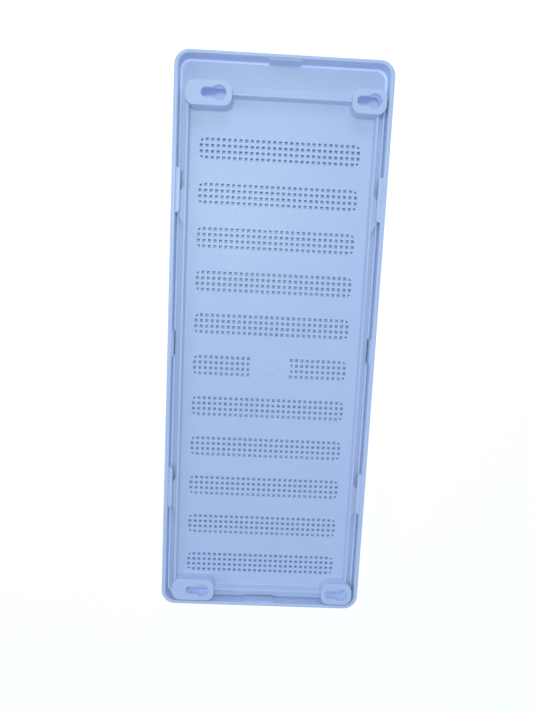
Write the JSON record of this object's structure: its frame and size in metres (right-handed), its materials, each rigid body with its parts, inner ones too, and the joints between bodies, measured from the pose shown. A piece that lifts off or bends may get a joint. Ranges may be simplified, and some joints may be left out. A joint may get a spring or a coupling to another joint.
{
  "type": "adjustable vent",
  "caption": "Slotted wall vent whose cover slides on a screened back plate with keyhole bosses, to open or close the air path.",
  "frame": {"origin": "centre of the cover's room-side face, on which the vent lies", "axes": "+Y along the vent, away from the way it opens; +Z from the room side to the wall side; +X across it, towards the head holes of the keyholes"},
  "size_m": [0.088, 0.234, 0.0099],
  "materials": {
    "plate_plastic": "moulded white polystyrene, fine satin",
    "cover_plastic": "moulded white polystyrene, semi-gloss"
  },
  "bodies": {
    "back_plate": {"back_plate": "plate_plastic"},
    "sliding_cover": {"sliding_cover": "cover_plastic"}
  },
  "joints": [
    {"name": "cover_slide", "type": "slide", "parent": "back_plate", "child": "sliding_cover", "axis": [0, -1, 0], "range_m": [0, 0.009]}
  ]
}
